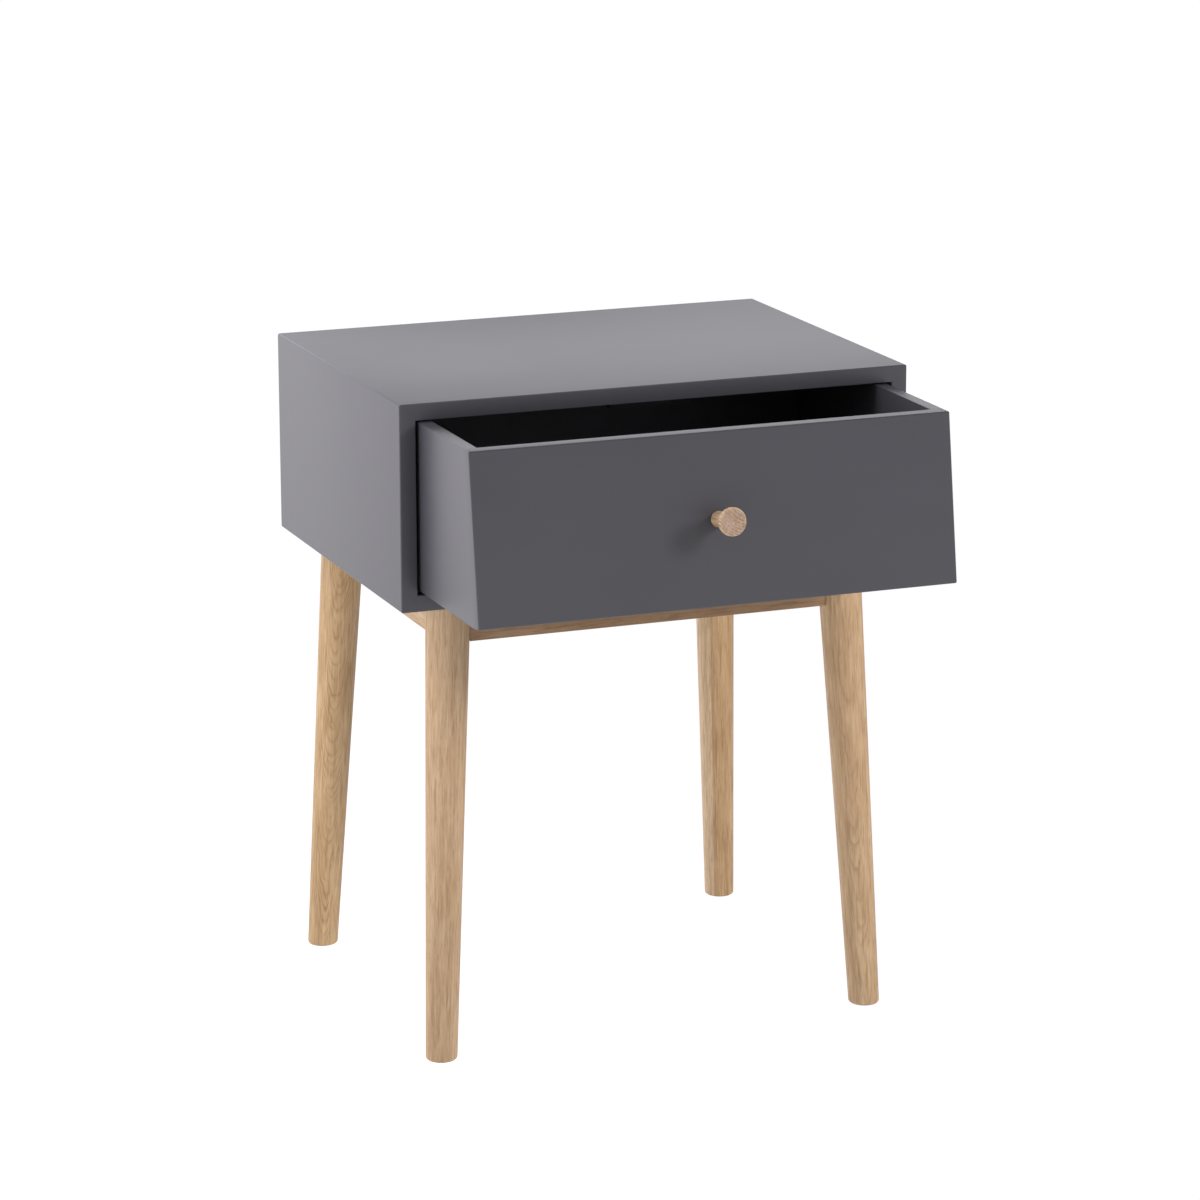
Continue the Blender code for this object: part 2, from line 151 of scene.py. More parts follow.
SIDE_SIGNS = {"left": -1, "right": 1}
ENDS = ("front", "rear")
X = Vector((1, 0, 0))
Y = Vector((0, 1, 0))
Z = Vector((0, 0, 1))


# Places read from the frame


def vertices(name):
    return [vertex.co.copy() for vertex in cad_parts[name].data.vertices]


def ring_at(name, height):
    """Centre and radius of the outermost vertices of a CAD node at one height."""
    level = [p for p in vertices(name) if abs(p.z - height) < SAME_LEVEL]
    low_x, high_x = min(p.x for p in level), max(p.x for p in level)
    low_y, high_y = min(p.y for p in level), max(p.y for p in level)
    centre = Vector(((low_x + high_x) / 2, (low_y + high_y) / 2, height))
    return centre, (high_x - low_x) / 2


TOP_LOW, TOP_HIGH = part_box("top_board")
SIDE_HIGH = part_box("right_side_board")[1]
BASE_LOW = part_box("bottom_board")[0]
PANEL_LOW, PANEL_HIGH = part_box("back_panel")
CASE_FRONT, CASE_BACK = TOP_LOW.y, TOP_HIGH.y
CASE_HALF = SIDE_HIGH.x
CASE_BOARD = TOP_HIGH.z - TOP_LOW.z
CASE_MIDDLE = (TOP_HIGH.z + BASE_LOW.z) / 2
INNER_HALF_X = CASE_HALF - CASE_BOARD
INNER_HALF_Z = (TOP_HIGH.z - BASE_LOW.z) / 2 - CASE_BOARD
REBATE_FRONT = PANEL_LOW.y - HOLE_GAP
REBATE_WIDTH = PANEL_HIGH.x + HOLE_GAP - INNER_HALF_X

FRONT_LOW, FRONT_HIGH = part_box("drawer_front")
DRAWER_SIDE_LOW, DRAWER_SIDE_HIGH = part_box("drawer_side_right")
DRAWER_BOTTOM_LOW, DRAWER_BOTTOM_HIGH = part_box("drawer_bottom")
DRAWER_HALF = FRONT_HIGH.x
DRAWER_BOARD = DRAWER_SIDE_HIGH.x - DRAWER_SIDE_LOW.x
DRAWER_REAR = DRAWER_SIDE_HIGH.y
FRONT_FOOT = min(vertices("drawer_front"), key=lambda p: p.y)
FRONT_TOPS = [p for p in vertices("drawer_front") if p.z > FRONT_HIGH.z - TOP_DEPTH]
FRONT_TOP = min(FRONT_TOPS, key=lambda p: p.y)
FRONT_TILT = math.atan2(FRONT_TOP.y - FRONT_FOOT.y, FRONT_TOP.z - FRONT_FOOT.z)
FRONT_BOARD = (FRONT_HIGH.y - FRONT_TOP.y) * math.cos(FRONT_TILT)
FRONT_OUT = Vector((0, -math.cos(FRONT_TILT), math.sin(FRONT_TILT)))


def front_plane_y(height, inside=0.0):
    """y of the drawer front's face at a height, or of a plane that far inside it."""
    slope = math.tan(FRONT_TILT)
    return FRONT_FOOT.y + (height - FRONT_FOOT.z) * slope + inside / math.cos(FRONT_TILT)


# Mesh helpers


def smooth(mesh, sharp_from=SHARP_FROM):
    mesh.shade_smooth()
    mesh.set_sharp_from_angle(angle=math.radians(sharp_from))


def finished(name, shape, sharp_from=SHARP_FROM):
    """An object from a bmesh, facing out, smooth where it's round."""
    bmesh.ops.recalc_face_normals(shape, faces=shape.faces)
    mesh = bpy.data.meshes.new(name)
    shape.to_mesh(mesh)
    shape.free()
    smooth(mesh, sharp_from)
    made = bpy.data.objects.new(name, mesh)
    bpy.context.scene.collection.objects.link(made)
    return made


def standing(start, axis):
    """The transform that takes the origin to start, and +Z to an axis."""
    return Matrix.Translation(start) @ Z.rotation_difference(axis).to_matrix().to_4x4()


def quarter_turn(steps, first=0):
    """Angles from nothing to a right angle, in steps, from the first one wanted."""
    return [math.pi / 2 * step / steps for step in range(first, steps + 1)]


def join_loops(shape, lower, upper):
    """Faces between two closed loops of vertices."""
    for k in range(len(lower)):
        shape.faces.new((lower[k - 1], lower[k], upper[k], upper[k - 1]))


def prism_shape(outline, axis, start, end):
    """A flat outline extruded along X, Y or Z. Its points are the other two coordinates."""
    index = "XYZ".index(axis)
    shape = bmesh.new()
    loops = []
    for at in (start, end):
        loop = []
        for point in outline:
            place = list(point)
            place.insert(index, at)
            loop.append(shape.verts.new(place))
        loops.append(loop)
    join_loops(shape, *loops)
    shape.faces.new(loops[0])
    shape.faces.new(loops[1])
    bmesh.ops.recalc_face_normals(shape, faces=shape.faces)
    return shape


def box_shape(low, high):
    plan = [(low.x, low.y), (high.x, low.y), (high.x, high.y), (low.x, high.y)]
    return prism_shape(plan, "Z", low.z, high.z)


def round_edges(shape, radius, chosen=lambda edge: True, segments=3):
    """Rounds the sharp edges that are chosen."""
    limit = math.radians(ROUNDED_FROM)
    edges = []
    for edge in shape.edges:
        if len(edge.link_faces) == 2 and edge.calc_face_angle() > limit and chosen(edge):
            edges.append(edge)
    bmesh.ops.bevel(
        shape,
        geom=edges,
        offset=radius,
        offset_type="OFFSET",
        segments=segments,
        profile=0.5,
        affect="EDGES",
        clamp_overlap=True,
    )


def keep_side(shape, point, normal):
    """Cuts the shape with a plane, keeps what is on the normal's side and closes the cut."""
    geometry = list(shape.verts) + list(shape.edges) + list(shape.faces)
    cut = bmesh.ops.bisect_plane(
        shape, geom=geometry, dist=CUT_PLANE, plane_co=point, plane_no=normal, clear_inner=True
    )
    edges = [item for item in cut["geom_cut"] if isinstance(item, bmesh.types.BMEdge)]
    bmesh.ops.edgenet_fill(shape, edges=edges)
    bmesh.ops.dissolve_degenerate(shape, dist=SAME_PLANE, edges=shape.edges)


def stacked_shape(rings, sides):
    """A round solid from (centre, radius) rings, with a flat cap at each end."""
    shape = bmesh.new()
    loops = []
    for centre, radius in rings:
        loop = []
        for k in range(sides):
            turn = 2 * math.pi * k / sides
            place = centre + X * radius * math.cos(turn) + Y * radius * math.sin(turn)
            loop.append(shape.verts.new(place))
        loops.append(loop)
    for lower, upper in zip(loops, loops[1:]):
        join_loops(shape, lower, upper)
    shape.faces.new(loops[0])
    shape.faces.new(loops[-1])
    return shape


def turned_shape(profile, sides):
    """A round solid along +Z from (radius, height) places."""
    return stacked_shape([(Z * height, radius) for radius, height in profile], sides)


def carve(piece, cutters):
    """Takes each cutter out of the piece, and removes the cutter."""
    for cutter in cutters:
        step = piece.modifiers.new("cut", "BOOLEAN")
        step.operation = "DIFFERENCE"
        step.solver = "EXACT"
        step.object = cutter
    graph = bpy.context.evaluated_depsgraph_get()
    carved = bpy.data.meshes.new_from_object(piece.evaluated_get(graph), depsgraph=graph)
    piece.modifiers.clear()
    piece.data = carved
    carved.name = piece.name
    smooth(carved)
    for cutter in cutters:
        bpy.data.objects.remove(cutter)


def rod(start, axis, radius, length):
    """A plain cylinder, to cut holes with."""
    made = finished("rod", turned_shape(((radius, 0), (radius, length)), HOLE_SIDES))
    made.matrix_world = standing(start, axis)
    bpy.context.view_layer.update()
    return made


def node_axis(name):
    """Start, direction and length of a long, thin CAD node that lies along X, Y or Z."""
    low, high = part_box(name)
    size = high - low
    index = max(range(3), key=lambda k: size[k])
    axis = Vector((0, 0, 0))
    axis[index] = 1
    start = (low + high) / 2
    start[index] = low[index]
    return start, axis, size[index]


def screw_hole(name, radius, past_tip=HOLE_OVERRUN):
    """A cutter for the hole of a CAD screw, from outside its head to past its tip."""
    start, axis, length = node_axis(name)
    return rod(start - axis * HOLE_OVERRUN, axis, radius, length + HOLE_OVERRUN + past_tip)


def dowel_holes(match):
    """Cutters for the dowels whose names hold the text."""
    cutters = []
    for name in sorted(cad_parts):
        if name.startswith("dowel_") and match in name:
            start, axis, length = node_axis(name)
            low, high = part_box(name)
            radius = min(high - low) / 2 + HOLE_GAP
            cutters.append(rod(start - axis * HOLE_GAP, axis, radius, length + 2 * HOLE_GAP))
    return cutters


def cover(piece, surface):
    piece.data.materials.clear()
    piece.data.materials.append(surface)


def dress(piece, body, surface):
    """Gives a piece its material, its body and the CAD node it stands for."""
    cover(piece, surface)
    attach(piece, body)
    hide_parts(piece.name.removeprefix("look_"))
    return piece


# Material helpers


class Nodes:
    """Short calls for building one material's node tree."""

    def __init__(self, name):
        self.material = bpy.data.materials.new(name)
        self.material.use_nodes = True
        self.tree = self.material.node_tree
        self.shader = self.tree.nodes["Principled BSDF"]

    def add(self, kind, inputs=None, **settings):
        made = self.tree.nodes.new("ShaderNode" + kind)
        for key, value in settings.items():
            setattr(made, key, value)
        for key, value in (inputs or {}).items():
            self.feed(made.inputs[key], value)
        return made

    def feed(self, socket, value):
        if isinstance(value, bpy.types.NodeSocket):
            self.tree.links.new(value, socket)
        else:
            socket.default_value = value

    def math(self, operation, *values, clamp=False):
        inputs = dict(enumerate(values))
        return self.add("Math", inputs, operation=operation, use_clamp=clamp).outputs[0]

    def vector(self, operation, first, second):
        return self.add("VectorMath", {0: first, 1: second}, operation=operation).outputs[0]

    def noise(self, place, scale, detail=2.0, roughness=0.5):
        inputs = {"Vector": place, "Scale": scale, "Detail": detail, "Roughness": roughness}
        return self.add("TexNoise", inputs).outputs["Fac"]

    def stretched_noise(self, place, scales, detail=2.0, roughness=0.5):
        """Noise with its own scale along each axis."""
        return self.noise(self.vector("MULTIPLY", place, scales), 1.0, detail, roughness)

    def ramp(self, value, *stops):
        """A value mapped through (place, grey level) stops."""
        made = self.add("ValToRGB", {"Fac": value})
        elements = made.color_ramp.elements
        while len(elements) < len(stops):
            elements.new(0.5)
        for element, (place, level) in zip(elements, stops):
            element.position = place
            element.color = (level, level, level, 1)
        return made.outputs["Color"]

    def mix(self, factor, first, second, blend="MIX"):
        made = self.add("Mix", data_type="RGBA", blend_type=blend)
        self.feed(made.inputs[0], factor)
        self.feed(made.inputs[6], first)
        self.feed(made.inputs[7], second)
        return made.outputs[2]

    def spread(self, value, lowest, width):
        """A value from 0 to 1, taken to a range of that width above the lowest."""
        return self.math("MULTIPLY_ADD", value, width, lowest)

    def bump(self, height, strength, distance):
        inputs = {"Height": height, "Strength": strength, "Distance": distance}
        return self.add("Bump", inputs).outputs[0]

    def shade(self, **inputs):
        """Sets the shader's inputs, with spaces for underscores in their names."""
        for key, value in inputs.items():
            self.feed(self.shader.inputs[key.replace("_", " ")], value)
        return self.material


def colour(red, green, blue):
    return (red, green, blue, 1.0)


def scaled(base, share):
    """A colour with every channel scaled by the same share."""
    return colour(*(channel * share for channel in base))


# Materials

# Linear red, green and blue
PAINT_COLOUR = (0.0457, 0.0450, 0.0506)
OAK_LIGHT = (0.520, 0.368, 0.220)
OAK_MIDDLE = (0.422, 0.281, 0.156)
OAK_WARM = (0.372, 0.236, 0.124)
OAK_DARK = (0.256, 0.152, 0.073)
BEECH = (0.50, 0.36, 0.23)
# Near black for the drawer stop: painted shade, so that the block sinks into the dark inside the case
PAINTED_SHADE_BEECH = (0.022, 0.021, 0.023)
STAINED_PLYWOOD = (0.300, 0.290, 0.300)
ZINC = ((0.52, 0.53, 0.54), (0.70, 0.69, 0.65))
# Near-black steel for the drawer stop's screw: painted shade, which hides its glint in the dark inside
# the case
PAINTED_SHADE_STEEL = ((0.030, 0.030, 0.033), (0.045, 0.045, 0.048))
PALE_NYLON = (0.70, 0.69, 0.66)
BLACK_NYLON = (0.022, 0.022, 0.022)

# Paint
PAINT_ROUGHNESS = 0.42
ROUGHNESS_SPREAD = 0.04
MOTTLE_STRETCH = (2.2, 6.0, 6.0)
MOTTLE_SCALE = 2.2
MOTTLE_DARK = 0.965
MOTTLE_LIGHT = 1.035
PEEL_SCALE = 420.0
RIPPLE_SCALE = 260.0
RIPPLE_SHARE = 0.4

# Oak figure: noise scales towards the pith, sideways, and along the grain
SWAY_SCALES = (12.0, 12.0, 6.0)
WOBBLE_SCALES = (90.0, 90.0, 60.0)
BREAK_SCALES = (75.0, 75.0, 20.0)
FIBRE_SCALES = (1300.0, 1300.0, 60.0)
STREAK_SCALES = (430.0, 430.0, 34.0)
PALE_SCALES = (360.0, 360.0, 26.0)
BAND_SCALES = (130.0, 130.0, 3.0)
PATCH_SCALES = (60.0, 60.0, 15.0)
PORE_SCALES = (1900.0, 1900.0, 110.0)
FLECK_SCALES = (240.0, 900.0, 60.0)
SWAY_DEPTH = 0.016
WOBBLE_DEPTH = 0.0020
# How far a ring can be out of place, in rings, and how fast that changes from ring to ring
RING_UNEVENNESS = 1.4
RING_UNEVEN_RATE = 0.45
# (part of a year, darkness of its wood)
YEAR = ((0.0, 0.45), (0.06, 1.0), (0.20, 0.55), (0.45, 0.05), (0.85, 0.08), (1.0, 0.45))
RING_LINE_STRENGTH = 0.42
FLECK_STRENGTH = 0.25
PORE_STRENGTH = 0.60
LATE_WOOD_PORES = 0.25
# How high the fibres stand, for pores that are one deep
FIBRE_HEIGHT = 0.35
# Beyond a glued joint: how far the pith is shifted, and a darker tint
STAVE_SHIFT = 0.0093
STAVE_TINT = (0.82, 0.74, 0.62)
END_GRAIN_TINT = (0.76, 0.76, 0.88)
END_GRAIN_SHARPNESS = 8.0


def painted(name):
    """Sprayed satin paint: a faint orange peel, slow mottling and an uneven gloss."""
    n = Nodes(name)
    place = n.add("TexCoord").outputs["Object"]
    stretched = n.vector("MULTIPLY", place, MOTTLE_STRETCH)
    clouds = n.noise(stretched, MOTTLE_SCALE, detail=3.0)
    ripple = n.noise(place, RIPPLE_SCALE, detail=3.0, roughness=0.6)
    low = scaled(PAINT_COLOUR, MOTTLE_DARK)
    high = scaled(PAINT_COLOUR, MOTTLE_LIGHT)
    tint = n.mix(n.ramp(clouds, (0.35, 0.0), (0.65, 1.0)), low, high)
    roughness = n.spread(clouds, PAINT_ROUGHNESS - ROUGHNESS_SPREAD / 2, ROUGHNESS_SPREAD)
    peel = n.noise(place, PEEL_SCALE)
    height = n.math("ADD", peel, n.math("MULTIPLY", ripple, RIPPLE_SHARE))
    normal = n.bump(height, strength=0.08, distance=0.0004)
    return n.shade(Base_Color=tint, Roughness=roughness, Normal=normal, IOR=1.5)


def oak(name, origin, grain, facing, pith, lean, ring, seed, tone=(1, 1, 1), stave=None, lines=1.0):
    """Solid oak, cut through growth rings.

    The grain runs along one direction. The rings are round a pith that is a distance away along
    facing, and leans that way by lean metres in a metre. A stave gives the place along facing of a
    glued joint, beyond which the wood is a darker piece. Lines scales the ring lines' strength.
    End grain soaks up more oil than side grain, and is darker.
    """
    n = Nodes(name)
    along = grain.normalized()
    towards = (facing - along * facing.dot(along)).normalized()
    turn = Matrix((towards, along.cross(towards), along)).transposed()
    inputs = {
        "Vector": n.add("TexCoord").outputs["Object"],
        "Location": origin,
        "Rotation": turn.to_euler(),
        "Scale": (1, 1, 1),
    }
    place = n.add("Mapping", inputs, vector_type="TEXTURE").outputs[0]
    shifted = n.vector("ADD", place, (seed * 0.37, seed * 0.73, seed * 1.91))
    split = n.add("SeparateXYZ", {0: place})
    x = n.math("SUBTRACT", split.outputs[0], n.math("MULTIPLY_ADD", split.outputs[2], lean, pith))
    if stave is not None:
        beyond = n.math("GREATER_THAN", split.outputs[0], stave)
        x = n.math("MULTIPLY_ADD", beyond, STAVE_SHIFT, x)
        shifted = n.vector("ADD", shifted, n.add("CombineXYZ", {2: beyond}).outputs[0])
    y = split.outputs[1]

    # Rings
    sway = n.stretched_noise(shifted, SWAY_SCALES)
    wobble = n.stretched_noise(shifted, WOBBLE_SCALES)
    radius = n.math("SQRT", n.math("ADD", n.math("MULTIPLY", x, x), n.math("MULTIPLY", y, y)))
    radius = n.math("MULTIPLY_ADD", sway, SWAY_DEPTH, radius)
    radius = n.math("MULTIPLY_ADD", wobble, WOBBLE_DEPTH, radius)
    phase = n.math("DIVIDE", radius, ring)
    slow_phase = n.add("CombineXYZ", {0: n.math("MULTIPLY", phase, RING_UNEVEN_RATE)}).outputs[0]
    uneven = n.noise(slow_phase, 1.0, detail=1.0)
    phase = n.math("MULTIPLY_ADD", uneven, RING_UNEVENNESS, phase)
    early = n.ramp(n.math("FRACT", phase), *YEAR)
    broken = n.stretched_noise(shifted, BREAK_SCALES)
    early = n.math("MULTIPLY", early, n.ramp(broken, (0.35, 0.15), (0.62, 1.0)))

    # Fibres, streaks, bands, pores and ray flecks
    fibre = n.stretched_noise(shifted, FIBRE_SCALES)
    streak = n.stretched_noise(shifted, STREAK_SCALES, detail=3.0, roughness=0.6)
    pale = n.stretched_noise(shifted, PALE_SCALES)
    band = n.stretched_noise(shifted, BAND_SCALES)
    patch = n.stretched_noise(shifted, PATCH_SCALES, detail=3.0, roughness=0.6)
    cells = n.stretched_noise(shifted, PORE_SCALES, detail=1.0)
    pores = n.ramp(cells, (0.54, 0.0), (0.66, 1.0))
    porous = n.spread(early, LATE_WOOD_PORES, 1 - LATE_WOOD_PORES)
    pores = n.math("MULTIPLY", pores, porous, clamp=True)
    rays = n.stretched_noise(shifted, FLECK_SCALES, detail=1.0)
    flecks = n.ramp(rays, (0.62, 0.0), (0.74, 1.0))

    # Colour
    light, middle, warm, dark = (
        colour(*(channel * share for channel, share in zip(base, tone)))
        for base in (OAK_LIGHT, OAK_MIDDLE, OAK_WARM, OAK_DARK)
    )
    tint = n.mix(n.ramp(patch, (0.34, 0.0), (0.66, 1.0)), light, middle)
    tint = n.mix(n.ramp(band, (0.38, 0.0), (0.66, 0.60)), tint, warm)
    tint = n.mix(n.math("MULTIPLY", early, RING_LINE_STRENGTH * lines), tint, dark)
    tint = n.mix(n.ramp(streak, (0.50, 0.0), (0.66, 0.60)), tint, dark)
    tint = n.mix(n.ramp(pale, (0.52, 0.0), (0.68, 0.60)), tint, light)
    tint = n.mix(n.ramp(fibre, (0.30, 0.30), (0.60, 0.0)), tint, dark)
    tint = n.mix(n.math("MULTIPLY", flecks, FLECK_STRENGTH), tint, light)
    tint = n.mix(n.math("MULTIPLY", pores, PORE_STRENGTH), tint, dark)
    if stave is not None:
        tint = n.mix(beyond, tint, colour(*STAVE_TINT), "MULTIPLY")
    out = n.add("TexCoord").outputs["Normal"]
    end = n.add("VectorMath", {0: out, 1: along}, operation="DOT_PRODUCT").outputs["Value"]
    end = n.math("POWER", n.math("ABSOLUTE", end), END_GRAIN_SHARPNESS, clamp=True)
    tint = n.mix(end, tint, n.mix(1.0, tint, colour(*END_GRAIN_TINT), "MULTIPLY"))

    # Surface
    height = n.math("SUBTRACT", n.math("MULTIPLY", fibre, FIBRE_HEIGHT), pores)
    normal = n.bump(height, strength=0.35, distance=0.00025)
    roughness = n.spread(pores, lowest=0.58, width=0.18)
    surface = {"Base_Color": tint, "Roughness": roughness, "Normal": normal}
    return n.shade(**surface, IOR=1.45, Specular_IOR_Level=0.3)


# Beech and plywood: noise scales with the grain along one axis, how much finer the flecks are
# than the lines, and how much darker the darkest wood is for a line's depth. Then steel and nylon
GRAIN_ALONG_X = (12.0, 420.0, 420.0)
GRAIN_ALONG_Y = (300.0, 40.0, 300.0)
GRAIN_ALONG_Z = (300.0, 300.0, 40.0)
FLECK_FINENESS = 2.2
DARKEST_SHARE = 2.2
WOOD_CLOUD_SCALE = 14.0
WOOD_FLECK_STRENGTH = 0.5
WOOD_CLOUD_STRENGTH = 0.25
PLATING_SCALE = 900.0
SCRATCH_SCALES = (5200.0, 700.0, 5200.0)
NYLON_GRAIN_SCALE = 1800.0
NYLON_CLOUD_SCALE = 90.0
NYLON_DARK = 0.82


def plain_wood(name, base, grain_scales, seed, depth=0.18):
    """Close-grained wood or plywood with short flecks along its grain."""
    n = Nodes(name)
    place = n.vector("ADD", n.add("TexCoord").outputs["Object"], (seed, seed * 2.3, seed * 0.7))
    lines = n.stretched_noise(place, grain_scales, detail=3.0, roughness=0.6)
    fleck_scales = [FLECK_FINENESS * scale for scale in grain_scales]
    rays = n.stretched_noise(place, fleck_scales, detail=1.0)
    clouds = n.noise(place, WOOD_CLOUD_SCALE)
    dark = scaled(base, 1 - DARKEST_SHARE * depth)
    tint = n.mix(n.ramp(lines, (0.35, 0.0), (0.70, 0.8)), colour(*base), dark)
    flecks = n.ramp(rays, (0.64, 0.0), (0.72, 1.0))
    tint = n.mix(n.math("MULTIPLY", flecks, WOOD_FLECK_STRENGTH), tint, dark)
    tint = n.mix(n.math("MULTIPLY", clouds, WOOD_CLOUD_STRENGTH), tint, dark)
    normal = n.bump(lines, strength=0.25, distance=0.0002)
    roughness = n.spread(lines, lowest=0.55, width=0.12)
    return n.shade(Base_Color=tint, Roughness=roughness, Normal=normal)


def plated_steel(name, low, high):
    """Steel with cloudy plating, from one colour to another, and fine scratches."""
    n = Nodes(name)
    place = n.add("TexCoord").outputs["Object"]
    clouds = n.noise(place, PLATING_SCALE)
    scratches = n.stretched_noise(place, SCRATCH_SCALES)
    tint = n.mix(clouds, colour(*low), colour(*high))
    roughness = n.spread(scratches, lowest=0.24, width=0.22)
    normal = n.bump(scratches, strength=0.10, distance=0.0001)
    return n.shade(Base_Color=tint, Metallic=1.0, Roughness=roughness, Normal=normal)


def nylon(name, base):
    """Moulded nylon with a fine, even grain."""
    n = Nodes(name)
    place = n.add("TexCoord").outputs["Object"]
    grain = n.noise(place, NYLON_GRAIN_SCALE)
    clouds = n.noise(place, NYLON_CLOUD_SCALE)
    tint = n.mix(clouds, colour(*base), scaled(base, NYLON_DARK))
    roughness = n.spread(grain, lowest=0.40, width=0.14)
    normal = n.bump(grain, strength=0.15, distance=0.0001)
    return n.shade(Base_Color=tint, Roughness=roughness, Normal=normal)


# Case

# An edge that runs further than this from front to back is a long corner of the case, and a
# vertex that is nearer to the case's outer faces than the other number is outside
LONG_EDGE = 0.1
OUTSIDE_DEPTH = CASE_CORNER * 1.5


def case_shape():
    """The whole case as one mitred ring, with a stepped rebate at the back and rounded edges."""
    section = [
        (CASE_FRONT, 0),
        (CASE_FRONT, CASE_BOARD),
        (CASE_BACK, CASE_BOARD),
        (CASE_BACK, REBATE_WIDTH),
        (REBATE_FRONT, REBATE_WIDTH),
        (REBATE_FRONT, 0),
    ]
    shape = bmesh.new()
    loops = []
    for y, outwards in section:
        across, up = INNER_HALF_X + outwards, INNER_HALF_Z + outwards
        corners = ((-across, -up), (across, -up), (across, up), (-across, up))
        loops.append([shape.verts.new((x, y, CASE_MIDDLE + z)) for x, z in corners])
    for k in range(len(section)):
        join_loops(shape, loops[k - 1], loops[k])
    bmesh.ops.recalc_face_normals(shape, faces=shape.faces)

    def outside(vertex):
        from_side = abs(abs(vertex.co.x) - CASE_HALF)
        from_top = abs(abs(vertex.co.z - CASE_MIDDLE) - INNER_HALF_Z - CASE_BOARD)
        return min(from_side, from_top) < OUTSIDE_DEPTH

    def is_long_corner(edge):
        a, b = edge.verts
        return abs(a.co.y - b.co.y) > LONG_EDGE and outside(a) and outside(b)

    def on_plane(edge, y):
        return all(abs(vertex.co.y - y) < SAME_PLANE for vertex in edge.verts)

    def is_rim(edge, y):
        return on_plane(edge, y) and all(map(outside, edge.verts))

    def is_mouth(edge):
        return on_plane(edge, CASE_FRONT) and not outside(edge.verts[0])

    round_edges(shape, CASE_CORNER, is_long_corner, segments=6)
    for y in (CASE_FRONT, CASE_BACK):
        round_edges(shape, CASE_EDGE, lambda edge: is_rim(edge, y), segments=4)
    round_edges(shape, CASE_INNER_EDGE, is_mouth)
    return shape


def build_case(surface):
    """The four boards, cut from the ring along their mitres, so that the paint runs over the joints."""
    ways = {
        "top_board": Z,
        "bottom_board": -Z,
        "left_side_board": -X,
        "right_side_board": X,
    }
    for name, outwards in ways.items():
        shape = case_shape()
        across = Y.cross(outwards)
        reach = INNER_HALF_X if outwards.z else INNER_HALF_Z
        depth = INNER_HALF_Z if outwards.z else INNER_HALF_X
        keep_side(shape, Z * CASE_MIDDLE, outwards)
        for sign in (-1, 1):
            corner = Z * CASE_MIDDLE + outwards * depth + across * sign * reach
            keep_side(shape, corner, outwards - across * sign)
        dress(finished("look_" + name, shape), "table", surface)
    shape = box_shape(PANEL_LOW, PANEL_HIGH)
    round_edges(shape, SMALL_EDGE)
    dress(finished("look_back_panel", shape), "table", surface)


# Drawer


def drawer_block():
    """The drawer's outer form as one solid, with a slanted front and rounded edges."""
    outline = [
        (FRONT_FOOT.y, FRONT_FOOT.z),
        (FRONT_TOP.y, FRONT_TOP.z),
        (DRAWER_REAR, FRONT_TOP.z),
        (DRAWER_REAR, FRONT_LOW.z),
        (front_plane_y(FRONT_LOW.z, FRONT_BOARD), FRONT_LOW.z),
    ]
    shape = prism_shape(outline, "X", -DRAWER_HALF, DRAWER_HALF)
    round_edges(shape, DRAWER_EDGE, segments=4)
    return shape


def soften_top(board, is_chosen):
    """Rounds the chosen top edges of a finished board."""
    shape = bmesh.new()
    shape.from_mesh(board.data)

    def is_top(edge):
        places = [vertex.co for vertex in edge.verts]
        return all(p.z > FRONT_HIGH.z - SAME_PLACE and is_chosen(p) for p in places)

    round_edges(shape, DRAWER_INNER_EDGE, is_top)
    shape.to_mesh(board.data)
    shape.free()
    smooth(board.data)


def groove_cutter():
    """The slot for the drawer's bottom, round the inside of the front and sides."""
    low = Vector([place - HOLE_GAP for place in DRAWER_BOTTOM_LOW])
    high = Vector([place + HOLE_GAP for place in DRAWER_BOTTOM_HIGH])
    high.y = DRAWER_REAR + GROOVE_OVERRUN
    return finished("groove", box_shape(low, high))


def build_drawer_boards(surface, bottom_surface):
    """The drawer's boards and bottom, with their grooves and screw holes.

    Front and sides are parted from one block on the slanted joint, so that the paint runs over it.
    """
    joint = Vector((0, front_plane_y(FRONT_LOW.z, FRONT_BOARD), FRONT_LOW.z))
    inner = DRAWER_HALF - DRAWER_BOARD
    shape = drawer_block()
    keep_side(shape, joint, FRONT_OUT)
    front = finished("look_drawer_front", shape)
    screw_start, screw_length = knob_screw_place()
    carve(front, [groove_cutter(), rod(screw_start, FRONT_OUT, SCREW_HOLE, screw_length)])
    dress(front, "drawer", surface)
    for side, sign in SIDE_SIGNS.items():
        shape = drawer_block()
        keep_side(shape, joint, -FRONT_OUT)
        keep_side(shape, X * sign * inner, X * sign)
        board = finished("look_drawer_side_" + side, shape)
        carve(board, [groove_cutter()])
        soften_top(board, lambda p: abs(abs(p.x) - inner) < SAME_PLACE)
        dress(board, "drawer", surface)
    for name, look, slot in (
        ("drawer_back", surface, "painted_board"),
        ("drawer_bottom", bottom_surface, "plywood"),
    ):
        shape = box_shape(*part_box(name))
        round_edges(shape, SMALL_EDGE)
        board = finished("look_" + name, shape)
        holes = []
        for side in SIDE_SIGNS:
            screw = "drawer_bottom_screw_" + side
            holes.append(screw_hole(screw, BOTTOM_SCREW_HOLE, BOTTOM_SCREW_OVERRUN))
        carve(board, holes)
        dress(board, "drawer", look)


def knob_base():
    """The middle of the knob's base, just off the drawer's front."""
    height = (FRONT_FOOT.z + FRONT_TOP.z) / 2
    return Vector((0, front_plane_y(height), height)) + FRONT_OUT * HOLE_GAP


def knob_screw_place():
    """Start and length of the hole that the knob's screw needs through the front."""
    start = knob_base() - FRONT_OUT * (FRONT_BOARD + FRONT_HOLE_OVERRUN)
    return start, FRONT_BOARD + 2 * FRONT_HOLE_OVERRUN


